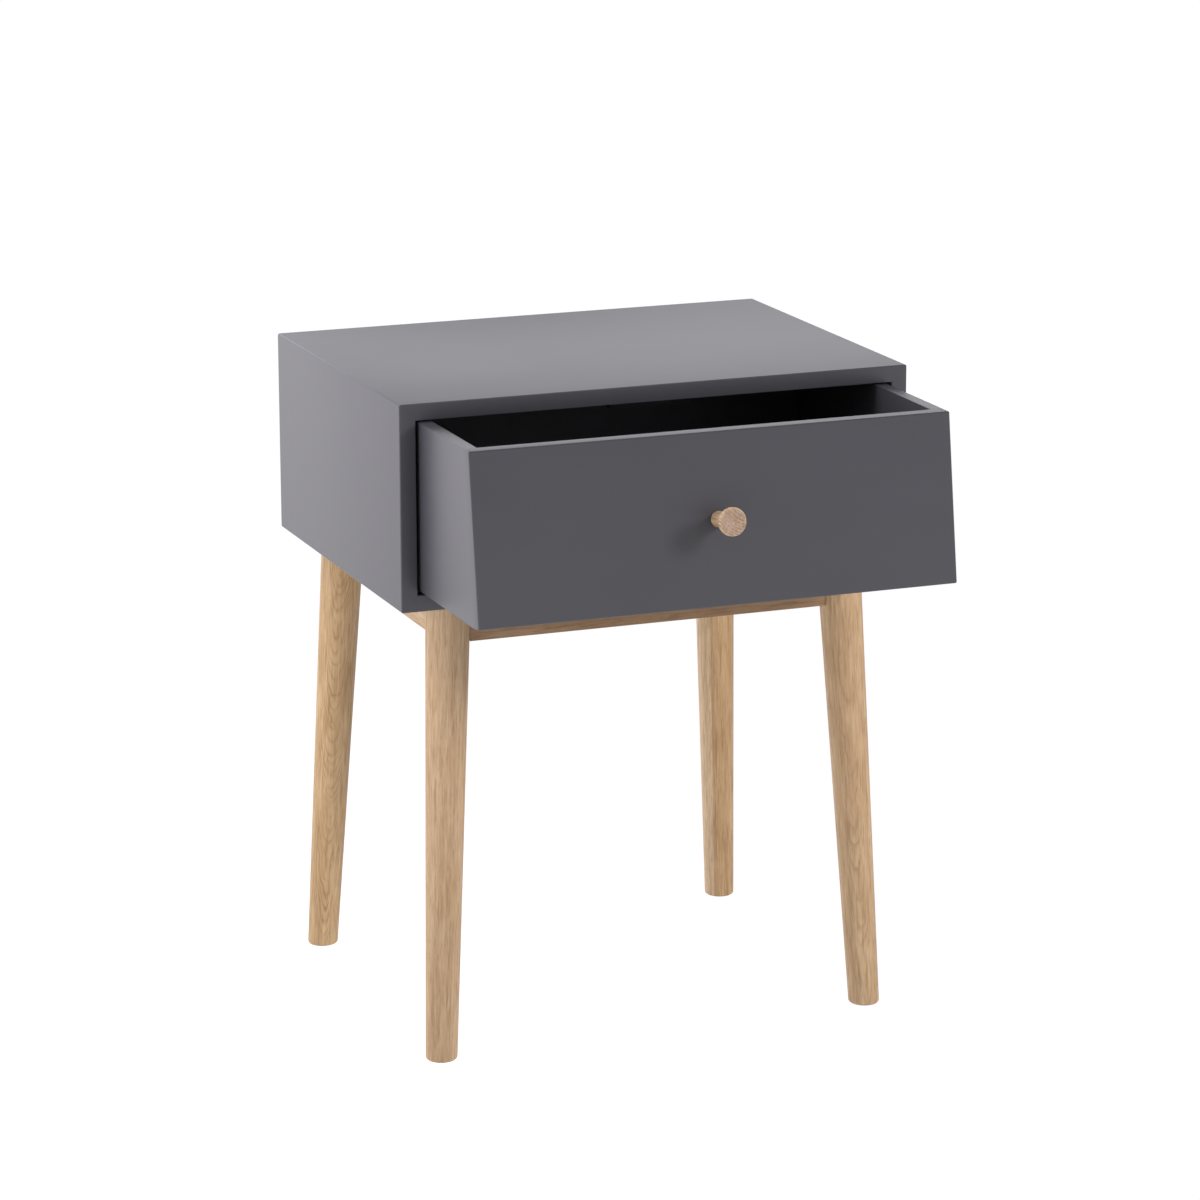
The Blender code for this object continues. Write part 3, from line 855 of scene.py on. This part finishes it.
def smooth_curve(points, steps):
    """Points on a Catmull-Rom curve through the given ones."""
    padded = [points[0], *points, points[-1]]
    curve = []
    for a, b, c, d in zip(padded, padded[1:], padded[2:], padded[3:]):
        for step in range(steps):
            t = step / steps
            place = []
            for p, q, r, s in zip(a, b, c, d):
                square = 2 * p - 5 * q + 4 * r - s
                cube = 3 * q - p - 3 * r + s
                place.append(0.5 * (2 * q + (r - p) * t + square * t * t + cube * t * t * t))
            curve.append(tuple(place))
    return curve + [points[-1]]


def build_knob(surface):
    """The knob from the screw's hole out over its base and stem to the head's rounded rim."""
    profile = [(SCREW_HOLE, KNOB_BORE_DEPTH), (SCREW_HOLE, 0.0)]
    profile += smooth_curve(KNOB_CURVE, KNOB_CURVE_STEPS)
    inside_rim = KNOB_CURVE[-1][0] - KNOB_RIM
    below_rim = KNOB_HEIGHT - KNOB_RIM
    for turn in quarter_turn(KNOB_RIM_STEPS, 1):
        radius = inside_rim + KNOB_RIM * math.cos(turn)
        profile.append((radius, below_rim + KNOB_RIM * math.sin(turn)))
    knob = finished("look_knob", turned_shape(profile, KNOB_SIDES), KNOB_SHARP_FROM)
    knob.data.transform(standing(knob_base(), FRONT_OUT))
    dress(knob, "drawer", surface)


# Oak frame


def leg_rings(end, side):
    """(centre, radius) of a leg just above its rounded foot, and at its top."""
    name = f"leg_{end}_{side}"
    low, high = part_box(name)
    return ring_at(name, low.z + FOOT_ROUND), ring_at(name, high.z)


def rings_between(foot, top):
    """A function that gives the (centre, radius) ring at a height on the line from foot to top."""

    def ring(height, radius):
        return foot + (top - foot) * (height - foot.z) / (top.z - foot.z), radius

    return ring


def build_leg(end, side, surface):
    """A leg from its nail hole out over the glide's recess and the rounded foot, and up to its top."""
    name = f"leg_{end}_{side}"
    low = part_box(name)[0]
    nail_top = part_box(f"foot_glide_{end}_{side}")[1].z + HOLE_GAP
    (foot, foot_radius), (top, top_radius) = leg_rings(end, side)
    at = rings_between(foot, top)
    rings = [
        at(nail_top, NAIL_HOLE_RADIUS),
        at(RECESS_TOP, NAIL_HOLE_RADIUS),
        at(RECESS_TOP, RECESS_RADIUS),
        at(low.z, RECESS_RADIUS),
    ]
    for turn in quarter_turn(FOOT_STEPS):
        height = low.z + FOOT_ROUND * (1 - math.cos(turn))
        rings.append(at(height, foot_radius - FOOT_ROUND * (1 - math.sin(turn))))
    count = math.ceil((top.z - foot.z) / LEG_RING_STEP)
    for step in range(1, count + 1):
        height = foot.z + (top.z - foot.z) * step / count
        rings.append(at(height, foot_radius + (top_radius - foot_radius) * step / count))
    leg = finished("look_" + name, stacked_shape(rings, LEG_SIDES))
    carve(leg, dowel_holes(f"dowel_{end}_{side}_"))
    return dress(leg, "table", surface)


def leg_clearance(end, side):
    """A cutter the size of the leg's top, with a hairline all round."""
    (foot, foot_radius), (top, top_radius) = leg_rings(end, side)
    rings = []
    for share in CLEARANCE_SHARES:
        centre = foot + (top - foot) * share
        rings.append((centre, foot_radius + (top_radius - foot_radius) * share + HOLE_GAP))
    return finished("clearance", stacked_shape(rings, LEG_SIDES))


def build_rail(name, surface):
    """A rail: a longer bar whose ends are hollowed to fit round its two legs."""
    low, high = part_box(name + "_rail")
    ends = [(name, side) for side in SIDE_SIGNS] if name in ENDS else [(end, name) for end in ENDS]
    reach = X if name in ENDS else Y

    def is_long(edge):
        a, b = edge.verts
        return abs((a.co - b.co).normalized().dot(reach)) > NEARLY_PARALLEL

    shape = box_shape(low - reach * RAIL_OVERRUN, high + reach * RAIL_OVERRUN)
    round_edges(shape, RAIL_EDGE, is_long)
    rail = finished(f"look_{name}_rail", shape)
    cutters = [leg_clearance(end, side) for end, side in ends]
    carve(rail, cutters + dowel_holes(f"_to_{name}_rail_"))
    return dress(rail, "table", surface)


# Small parts


def build_corner_block(name, surface):
    """A corner block: the CAD outline with softened edges and its screw's hole."""
    low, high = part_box(name)
    corners = []
    for p in vertices(name):
        is_new = all((p.xy - q.xy).length > SAME_PLACE for q in corners)
        to_edge = min(abs(p.x - low.x), abs(p.x - high.x), abs(p.y - low.y), abs(p.y - high.y))
        if abs(p.z - low.z) < SAME_PLANE and is_new and to_edge < SAME_PLACE:
            corners.append(p)
    middle = sum(corners, Vector()) / len(corners)
    corners.sort(key=lambda p: math.atan2(p.y - middle.y, p.x - middle.x))
    shape = prism_shape([(p.x, p.y) for p in corners], "Z", low.z, high.z)
    round_edges(shape, SMALL_EDGE)
    block = finished("look_" + name, shape)
    carve(block, [screw_hole(name.replace("corner_block", "frame_screw"), SCREW_HOLE)])
    return dress(block, "table", surface)


def build_stop(name, surface, screw=None):
    """A small block that stops the drawer, with a hole where it has a screw."""
    shape = box_shape(*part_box(name))
    round_edges(shape, SMALL_EDGE)
    stop = finished("look_" + name, shape)
    if screw:
        carve(stop, [screw_hole(screw, SCREW_HOLE)])
    return dress(stop, "table", surface)


def screw_shape(sizes, length):
    """A pan-head screw along +Z from the top of its head, with a pointed end."""
    radius, head_radius, head = sizes
    profile = [(head_radius * HEAD_FLAT, 0.0)]
    for turn in quarter_turn(SCREW_STEPS, 1):
        wide = head_radius * (HEAD_FLAT + (1 - HEAD_FLAT) * math.sin(turn))
        profile.append((wide, head * HEAD_DOME * (1 - math.cos(turn))))
    profile += [
        (head_radius, head),
        (radius, head),
        (radius, length - radius * TIP_LENGTH),
        (radius * TIP_RADIUS, length),
    ]
    return turned_shape(profile, SCREW_SIDES)


def build_screw(name, body, sizes, surface, start, axis, length):
    """A cross-slotted screw that starts at its head and points along an axis."""
    head_radius, head = sizes[1:]
    screw = finished("look_" + name, screw_shape(sizes, length))
    high = Vector((head_radius * SLOT_REACH, head_radius * SLOT_HALF_WIDTH, head * SLOT_DEPTH))
    low = Vector((-high.x, -high.y, -SLOT_OVERRUN))
    slots = []
    for turn in (0.0, math.pi / 2):
        slot = finished("slot", box_shape(low, high))
        slot.data.transform(Matrix.Rotation(turn, 4, "Z"))
        slots.append(slot)
    carve(screw, slots)
    screw.data.transform(standing(start, axis))
    return dress(screw, body, surface)


def build_upright_screw(name, body, sizes, surface):
    """A screw that points straight up, as long as its CAD node."""
    low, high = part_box(name)
    start = Vector(((low.x + high.x) / 2, (low.y + high.y) / 2, low.z))
    return build_screw(name, body, sizes, surface, start, Z, high.z - low.z)


def build_knob_fixings(surface):
    """The knob's washer on the inside of the drawer's front, and the screw through it."""
    washer_to_front = 2 * HOLE_GAP + FRONT_BOARD + WASHER_THICKNESS
    seat = knob_base() - FRONT_OUT * washer_to_front
    head = KNOB_SCREW[2]
    start = seat - FRONT_OUT * (head + HOLE_GAP)
    length = head + KNOB_SCREW_SHANK
    build_screw("knob_screw", "drawer", KNOB_SCREW, surface, start, FRONT_OUT, length)
    section = [
        (SCREW_HOLE, 0.0),
        (WASHER_RADIUS - WASHER_EDGE, 0.0),
        (WASHER_RADIUS, WASHER_EDGE),
        (WASHER_RADIUS, WASHER_THICKNESS - WASHER_EDGE),
        (WASHER_RADIUS - WASHER_EDGE, WASHER_THICKNESS),
        (SCREW_HOLE, WASHER_THICKNESS),
    ]
    turns = [2 * math.pi * k / SMALL_PART_SIDES for k in range(SMALL_PART_SIDES)]
    shape = bmesh.new()
    loops = []
    for radius, height in section:
        places = [(radius * math.cos(turn), radius * math.sin(turn), height) for turn in turns]
        loops.append([shape.verts.new(place) for place in places])
    for k in range(len(section)):
        join_loops(shape, loops[k - 1], loops[k])
    washer = finished("look_knob_washer", shape)
    washer.data.transform(standing(seat, FRONT_OUT))
    dress(washer, "drawer", surface)


def build_glide(end, side, surface):
    """A nailed glide: a domed disc and its nail."""
    name = f"foot_glide_{end}_{side}"
    nail_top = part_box(name)[1].z
    (foot, _), (top, _) = leg_rings(end, side)
    at = rings_between(foot, top)
    rings = []
    for turn in quarter_turn(GLIDE_STEPS):
        height = GLIDE_DOME * (1 - math.cos(turn))
        rings.append(at(height, GLIDE_RADIUS - GLIDE_DOME + GLIDE_DOME * math.sin(turn)))
    rings += [at(GLIDE_TOP, GLIDE_RADIUS), at(GLIDE_TOP, NAIL_RADIUS), at(nail_top, NAIL_RADIUS)]
    glide = finished("look_" + name, stacked_shape(rings, SMALL_PART_SIDES))
    return dress(glide, "table", surface)


def build_runner(name, surface):
    """An L-shaped runner strip with softened edges: a foot under the drawer, a wall beside it."""
    low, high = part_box(name)
    outwards = 1 if high.x > 0 else -1
    outer, inner = (high.x, low.x) if outwards > 0 else (low.x, high.x)
    wall_inside = outer - outwards * RUNNER_WALL
    foot_top = low.z + RUNNER_FOOT
    section = [
        (outer, low.z),
        (outer, high.z),
        (wall_inside, high.z),
        (wall_inside, foot_top),
        (inner, foot_top),
        (inner, low.z),
    ]
    shape = prism_shape(section, "Y", low.y, high.y)
    round_edges(shape, RUNNER_EDGE, segments=2)
    return dress(finished("look_" + name, shape), "table", surface)


# Build the object

paint = painted("paint")
build_case(paint)
plywood = plain_wood("stained_plywood", STAINED_PLYWOOD, GRAIN_ALONG_X, seed=3.1)
build_drawer_boards(paint, plywood)

# A pith towards the first of these puts arches on the side of a leg that looks that way, and
# a pith towards the second puts straight lines there
ARCHES_FACING = Vector((-0.36, -0.93, 0.0))
STRAIGHT_FACING = Vector((0.93, -0.36, 0.0))
LEG_LOOKS = {
    ("front", "left"): {
        "facing": STRAIGHT_FACING,
        "pith": 0.09,
        "lean": 0.010,
        "ring": 0.0030,
        "seed": 1.0,
        "tone": (0.96, 0.98, 1.01),
        "lines": 0.9,
    },
    ("front", "right"): {
        "facing": ARCHES_FACING,
        "pith": 0.10,
        "lean": -0.035,
        "ring": 0.0016,
        "seed": 2.0,
        "tone": (1.03, 1.04, 1.03),
        "lines": 1.5,
    },
    ("rear", "left"): {
        "facing": ARCHES_FACING,
        "pith": 0.09,
        "lean": -0.08,
        "ring": 0.0013,
        "seed": 3.0,
        "tone": (1.03, 1.03, 0.96),
        "lines": 2.4,
    },
    ("rear", "right"): {
        "facing": STRAIGHT_FACING,
        "pith": 0.07,
        "lean": 0.012,
        "ring": 0.0026,
        "seed": 4.0,
        "tone": (1.12, 1.19, 1.28),
        "stave": -0.005,
    },
}
for (end, side), figure in LEG_LOOKS.items():
    (foot, _), (top, _) = leg_rings(end, side)
    build_leg(end, side, oak(f"oak_{end}_{side}", foot, top - foot, **figure))

RAIL_FIGURE = {"facing": Z, "pith": 0.06, "lean": 0.012, "ring": 0.0030}
FIRST_RAIL_SEED = 6.0
# Tones for each rail's oak. The front rail's much lower tone is painted shade: it stands for the shadow
# that the open drawer casts on it. The other rails keep their own oak tone.
RAIL_TONES_AND_PAINTED_SHADE = {
    "front": (0.60, 0.55, 0.52),
    "rear": (0.95, 0.95, 0.95),
    "left": (0.95, 0.95, 0.95),
    "right": (0.95, 0.95, 0.95),
}
for index, (name, tone) in enumerate(RAIL_TONES_AND_PAINTED_SHADE.items()):
    low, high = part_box(name + "_rail")
    grain = X if name in ENDS else Y
    figure = {**RAIL_FIGURE, "seed": FIRST_RAIL_SEED + index, "tone": tone}
    build_rail(name, oak(f"oak_{name}_rail", (low + high) / 2, grain, **figure))

KNOB_LOOK = {
    "facing": Vector((0.6, 0.0, 1.0)),
    "pith": 0.030,
    "lean": 0.0,
    "ring": 0.0026,
    "seed": 11.0,
    "tone": (1.10, 1.17, 1.28),
    "lines": 4.0,
}
build_knob(oak("oak_knob", knob_base(), FRONT_OUT, **KNOB_LOOK))

beech = plain_wood("beech", BEECH, GRAIN_ALONG_Z, seed=5.0, depth=0.10)
steel = plated_steel("zinc_plated_steel", *ZINC)
painted_shade_steel = plated_steel("steel_painted_shade", *PAINTED_SHADE_STEEL)
for end in ENDS:
    for side in SIDE_SIGNS:
        build_corner_block(f"corner_block_{end}_{side}", beech)
        build_upright_screw(f"frame_screw_{end}_{side}", "table", CASE_SCREW, steel)
        build_glide(end, side, nylon(f"nylon_{end}_{side}", PALE_NYLON))
for name in ("rear_stop_left", "rear_stop_right"):
    build_stop(name, beech)
# The drawer stop is darkened to painted shade, so that it sinks into the dark inside the case
painted_shade_beech = plain_wood("beech_painted_shade", PAINTED_SHADE_BEECH, GRAIN_ALONG_Y, seed=7.0, depth=0.10)
build_stop("drawer_stop_block", painted_shade_beech, screw="stop_block_screw")
# Its screw's near-black steel is painted shade, which hides its glint in the dark inside the case
build_upright_screw("stop_block_screw", "table", CASE_SCREW, painted_shade_steel)
for side in SIDE_SIGNS:
    build_upright_screw("drawer_bottom_screw_" + side, "drawer", BOTTOM_SCREW, steel)
    build_runner("drawer_runner_" + side, nylon("black_nylon_" + side, BLACK_NYLON))
build_knob_fixings(steel)
for name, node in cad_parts.items():
    if name.startswith("dowel_"):
        cover(node, beech)


# Camera

CAMERA_FROM_CASE = Vector((-1.4333, -3.5408, 0.9691))
CAMERA_AZIMUTH = -21.2655
CAMERA_ELEVATION = 14.3794
CAMERA_ROLL = -0.0911
# Lens and sensor in millimetres
CAMERA_LENS = 133.32
SENSOR_WIDTH = 36.0
VIEW_DEPTH = 50.0


def build_camera():
    """A camera placed from the foot of the case's front, and turned a little about its own axis."""
    data = bpy.data.cameras.new("camera")
    data.lens = CAMERA_LENS
    data.sensor_width = SENSOR_WIDTH
    data.clip_end = VIEW_DEPTH
    camera = bpy.data.objects.new("camera", data)
    bpy.context.scene.collection.objects.link(camera)
    azimuth, elevation = math.radians(CAMERA_AZIMUTH), math.radians(CAMERA_ELEVATION)
    ahead = Vector(
        (
            -math.sin(azimuth) * math.cos(elevation),
            math.cos(azimuth) * math.cos(elevation),
            -math.sin(elevation),
        )
    )
    right = ahead.cross(Z).normalized()
    up = right.cross(ahead)
    roll = math.radians(CAMERA_ROLL)
    turned_right = right * math.cos(roll) + up * math.sin(roll)
    turned_up = up * math.cos(roll) - right * math.sin(roll)
    turn = Matrix((turned_right, turned_up, -ahead)).transposed().to_4x4()
    case_foot = Vector((0, CASE_FRONT, BASE_LOW.z))
    camera.matrix_world = Matrix.Translation(case_foot + CAMERA_FROM_CASE) @ turn
    bpy.context.scene.camera = camera


build_camera()


# Studio: a white floor that glows, broad soft walls of light, and soft lamps

STUDIO_MIDDLE = Vector((0, 0.03, 0.45))
FLOOR_REACH = 20.0
FLOOR_GLOW = 1.02
# Added to the left of the table, growing between two places along X
FLOOR_LEFT_GLOW = 0.86
LEFT_GLOW_FULL = -2.0
LEFT_GLOW_NONE = 0.5
BACKDROP_GLOW = 1.05
LIGHT_TINT = (1.0, 0.985, 1.03)
# name: (azimuth from the front, elevation, distance, width, watts, shows in reflections)
LAMPS = {
    "key_right": (43, 25, 2.6, 0.7, 46.0, False),
    "fill_left": (-80, 5, 1.4, 0.9, 6.6, False),
    "fill_above_left": (-90, 60, 1.4, 0.9, 14.1, False),
    "rear_left": (-165, 20, 2.6, 1.5, 3.0, True),
    "rear_middle": (180, 20, 2.6, 1.5, 7.0, True),
    "rear_right": (150, 25, 2.6, 1.5, 10.0, True),
}
# (direction, strength), and how fast each fades away from its direction
SOFT_WALLS = (
    (Vector((0.0, -1.0, 0.15)), 0.54),
    (Vector((0.7, -0.7, 0.3)), 0.57),
    (Vector((-0.7, 0.7, 0.2)), 2.20),
)
WALL_FALL_OFF = 3.0


def build_floor():
    """A floor that is as bright as white paper, and brighter to the left of the table."""
    shape = bmesh.new()
    bmesh.ops.create_grid(shape, x_segments=1, y_segments=1, size=FLOOR_REACH)
    floor = finished("studio_floor", shape)
    n = Nodes("floor_white")
    x = n.add("SeparateXYZ", {0: n.add("TexCoord").outputs["Object"]}).outputs[0]
    limits = {
        "Value": x,
        "From Min": LEFT_GLOW_FULL,
        "From Max": LEFT_GLOW_NONE,
        "To Min": FLOOR_GLOW + FLOOR_LEFT_GLOW,
        "To Max": FLOOR_GLOW,
    }
    strength = n.add("MapRange", limits, interpolation_type="SMOOTHSTEP").outputs[0]
    glow = n.add("Emission", {"Color": colour(*LIGHT_TINT), "Strength": strength})
    n.tree.links.new(glow.outputs[0], n.tree.nodes["Material Output"].inputs["Surface"])
    floor.data.materials.append(n.material)


def build_world():
    """Soft walls of light, on a backdrop that the camera sees as white."""
    world = bpy.data.worlds.new("studio")
    bpy.context.scene.world = world
    world.use_nodes = True
    tree = world.node_tree

    def add(kind, *inputs, **settings):
        made = tree.nodes.new("ShaderNode" + kind)
        for key, value in settings.items():
            setattr(made, key, value)
        for socket, value in zip(made.inputs, inputs):
            if isinstance(value, bpy.types.NodeSocket):
                tree.links.new(value, socket)
            else:
                socket.default_value = value
        return made

    place = add("TexCoord").outputs["Generated"]
    way = add("VectorMath", place, operation="NORMALIZE").outputs[0]
    total = 0.0
    for direction, strength in SOFT_WALLS:
        middle = direction.normalized()
        facing = add("VectorMath", way, middle, operation="DOT_PRODUCT").outputs["Value"]
        facing = add("Math", facing, 0.0, operation="MAXIMUM").outputs[0]
        lobe = add("Math", facing, WALL_FALL_OFF, operation="POWER").outputs[0]
        total = add("Math", lobe, strength, total, operation="MULTIPLY_ADD").outputs[0]
    camera_ray = add("LightPath").outputs["Is Camera Ray"]
    seen = add("Math", camera_ray, BACKDROP_GLOW, operation="MULTIPLY").outputs[0]
    strength = add("Math", total, seen, operation="MAXIMUM").outputs[0]
    background = tree.nodes["Background"]
    background.inputs["Color"].default_value = colour(*LIGHT_TINT)
    tree.links.new(strength, background.inputs["Strength"])


def build_lamps():
    """Round soft lamps that look at the studio's middle, and that the camera doesn't see."""
    for name, (azimuth, elevation, distance, width, watts, reflects) in LAMPS.items():
        data = bpy.data.lights.new(name, "AREA")
        data.shape = "DISK"
        data.size = width
        data.energy = watts
        data.color = LIGHT_TINT
        lamp = bpy.data.objects.new(name, data)
        lamp.visible_camera = False
        lamp.visible_glossy = reflects
        bpy.context.scene.collection.objects.link(lamp)
        around, up = math.radians(azimuth), math.radians(elevation)
        level = math.cos(up)
        away = Vector((math.sin(around) * level, -math.cos(around) * level, math.sin(up)))
        turn = away.to_track_quat("Z", "Y").to_matrix().to_4x4()
        lamp.matrix_world = Matrix.Translation(STUDIO_MIDDLE + away * distance) @ turn


build_floor()
build_world()
build_lamps()
bpy.context.scene.view_settings.view_transform = "Standard"
